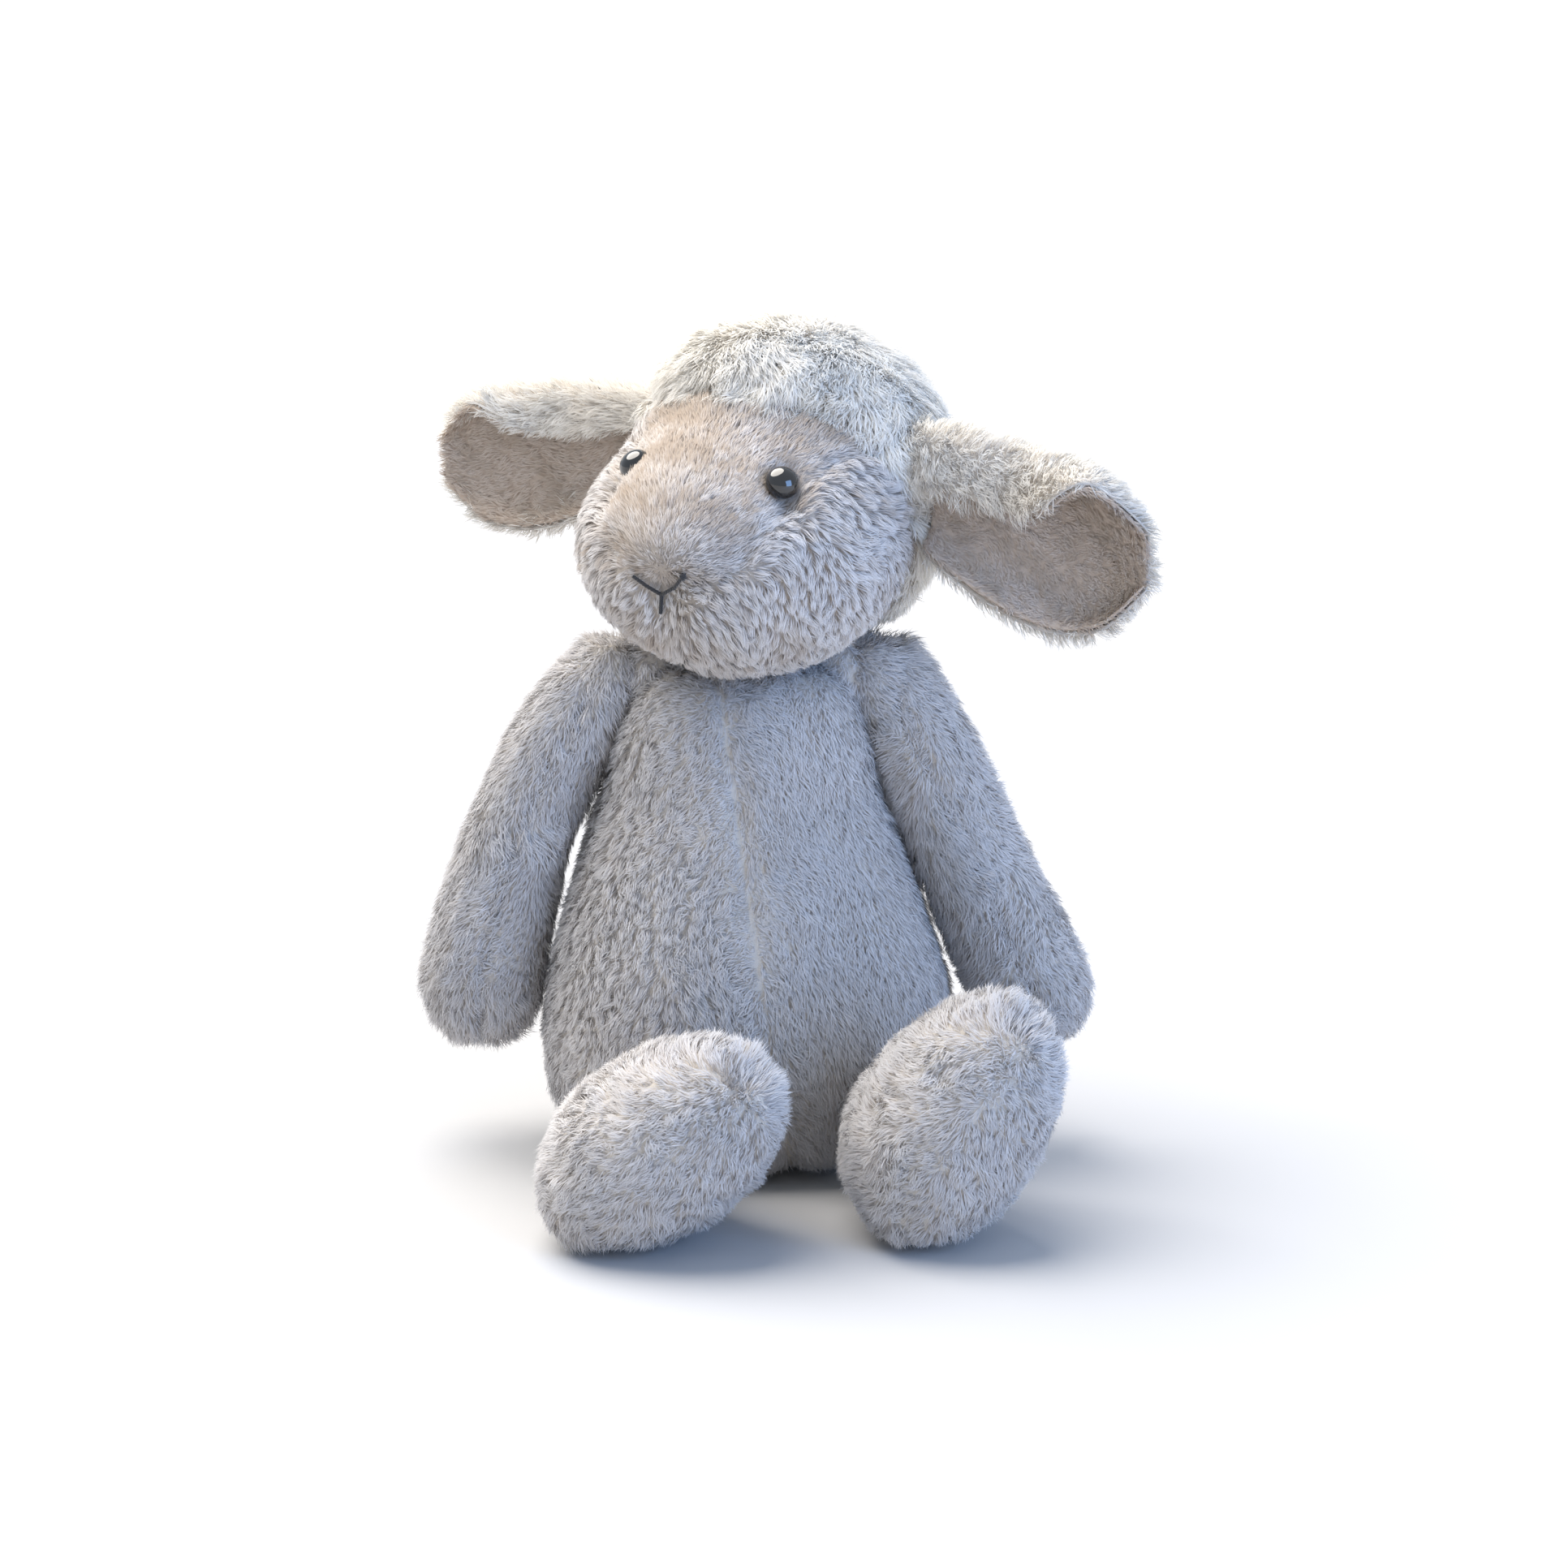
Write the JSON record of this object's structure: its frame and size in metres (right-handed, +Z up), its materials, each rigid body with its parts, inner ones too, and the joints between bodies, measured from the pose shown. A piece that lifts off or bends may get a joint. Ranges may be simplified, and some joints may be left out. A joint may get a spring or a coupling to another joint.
{
  "type": "plush lamb",
  "caption": "Seated plush lamb with a puffy long-pile cap, folded leaf ears, bead eyes, a stitched nose and long soft limbs.",
  "frame": {"origin": "middle of the seat, on the plane the lamb sits on", "axes": "+Z up, the lamb's body faces -Y, +X to the right of someone facing it"},
  "size_m": [0.1655, 0.1595, 0.1906],
  "materials": {
    "cream_pile": "dense curled pile of about 3 mm, matte",
    "long_cream_pile": "shaggy pile of about 7 mm, matte",
    "face_pile": "combed pile of about 3 mm, matte",
    "ear_lining": "short velvety pile, matte",
    "polyester_fill": "loose matte fibre",
    "pouch_cloth": "plain woven cloth, matte",
    "black_bead": "polished",
    "washer_plastic": "satin",
    "black_thread": "twisted thread, slight sheen",
    "sewing_thread": "matte thread"
  },
  "bodies": {
    "torso": {"torso_back_right": "cream_pile", "torso_back_left": "cream_pile", "torso_front_left": "cream_pile", "torso_front_right": "cream_pile", "seat_panel": "cream_pile", "torso_stuffing": "polyester_fill", "bean_pouch": "pouch_cloth"},
    "neck_seam": {"neck_stitching": "sewing_thread"},
    "head": {"face_gusset": "face_pile", "cheek_right": "face_pile", "cheek_left": "face_pile", "head_cap": "long_cream_pile", "head_back": "long_cream_pile", "head_stuffing": "polyester_fill", "eye_left": "black_bead", "eye_right": "black_bead", "eye_washer_left": "washer_plastic", "eye_washer_right": "washer_plastic", "nose_thread": "black_thread", "mouth_thread": "black_thread"},
    "tail": {"tail_cover": "long_cream_pile", "tail_stuffing": "polyester_fill"},
    "shoulder_left_seam": {"shoulder_left_stitching": "sewing_thread"},
    "arm_left": {"arm_left_outer": "cream_pile", "arm_left_inner": "cream_pile", "arm_left_stuffing": "polyester_fill"},
    "hip_left_seam": {"hip_left_stitching": "sewing_thread"},
    "leg_left": {"leg_left_upper": "cream_pile", "leg_left_under": "cream_pile", "foot_left_sole": "cream_pile", "leg_left_stuffing": "polyester_fill"},
    "ear_left": {"ear_left_outer": "cream_pile", "ear_left_lining": "ear_lining"},
    "shoulder_right_seam": {"shoulder_right_stitching": "sewing_thread"},
    "arm_right": {"arm_right_outer": "cream_pile", "arm_right_inner": "cream_pile", "arm_right_stuffing": "polyester_fill"},
    "hip_right_seam": {"hip_right_stitching": "sewing_thread"},
    "leg_right": {"leg_right_upper": "cream_pile", "leg_right_under": "cream_pile", "foot_right_sole": "cream_pile", "leg_right_stuffing": "polyester_fill"},
    "ear_right": {"ear_right_outer": "cream_pile", "ear_right_lining": "ear_lining"}
  },
  "joints": [
    {"name": "neck_turn", "type": "hinge", "parent": "torso", "child": "neck_seam", "pos_m": [0, 0.001, 0.1155], "axis": [0, 0, 1], "range_deg": [-15, 50], "stiffness_Nm_per_rad": 0.03},
    {"name": "neck_nod", "type": "hinge", "parent": "neck_seam", "child": "head", "pos_m": [0, 0.001, 0.132], "axis": [0.8655, -0.4997, -0.0349], "range_deg": [-7, 10], "stiffness_Nm_per_rad": 0.1},
    {"name": "arm_left_swing", "type": "hinge", "parent": "torso", "child": "shoulder_left_seam", "pos_m": [-0.0305, 0.002, 0.1135], "axis": [-1, 0, 0], "range_deg": [-40, 90], "stiffness_Nm_per_rad": 0.004},
    {"name": "arm_left_lift", "type": "hinge", "parent": "shoulder_left_seam", "child": "arm_left", "pos_m": [-0.0305, 0.002, 0.1135], "axis": [0, 1, 0], "range_deg": [0, 65], "stiffness_Nm_per_rad": 0.004},
    {"name": "hip_left_twist", "type": "hinge", "parent": "torso", "child": "hip_left_seam", "pos_m": [-0.026, -0.051, 0.0174], "axis": [-0.0698, -0.9976, 0], "range_deg": [-15, 15], "stiffness_Nm_per_rad": 0.02},
    {"name": "leg_left_raise", "type": "hinge", "parent": "hip_left_seam", "child": "leg_left", "pos_m": [-0.026, -0.051, 0.0174], "axis": [-0.9976, 0.0698, 0], "range_deg": [-60, 35], "stiffness_Nm_per_rad": 0.03},
    {"name": "ear_left_fold", "type": "hinge", "parent": "head", "child": "ear_left", "pos_m": [-0.02289, 0.02449, 0.16559], "axis": [0.0302, -0.0174, 0.9994], "range_deg": [-30, 12], "stiffness_Nm_per_rad": 0.002},
    {"name": "arm_right_swing", "type": "hinge", "parent": "torso", "child": "shoulder_right_seam", "pos_m": [0.0305, 0.002, 0.1135], "axis": [-1, 0, 0], "range_deg": [-40, 90], "stiffness_Nm_per_rad": 0.004},
    {"name": "arm_right_lift", "type": "hinge", "parent": "shoulder_right_seam", "child": "arm_right", "pos_m": [0.0305, 0.002, 0.1135], "axis": [0, -1, 0], "range_deg": [0, 65], "stiffness_Nm_per_rad": 0.004},
    {"name": "hip_right_twist", "type": "hinge", "parent": "torso", "child": "hip_right_seam", "pos_m": [0.036, -0.048, 0.0184], "axis": [0.225, -0.9744, 0], "range_deg": [-15, 15], "stiffness_Nm_per_rad": 0.02},
    {"name": "leg_right_raise", "type": "hinge", "parent": "hip_right_seam", "child": "leg_right", "pos_m": [0.036, -0.048, 0.0184], "axis": [-0.9744, -0.225, 0], "range_deg": [-60, 35], "stiffness_Nm_per_rad": 0.03},
    {"name": "ear_right_fold", "type": "hinge", "parent": "head", "child": "ear_right", "pos_m": [0.04116, -0.01249, 0.163], "axis": [-0.0302, 0.0174, -0.9994], "range_deg": [-30, 12], "stiffness_Nm_per_rad": 0.002},
    {"name": "tail_lift", "type": "hinge", "parent": "torso", "child": "tail", "pos_m": [0, 0.0415, 0.028], "axis": [1, 0, 0], "range_deg": [-20, 25], "stiffness_Nm_per_rad": 0.004}
  ]
}
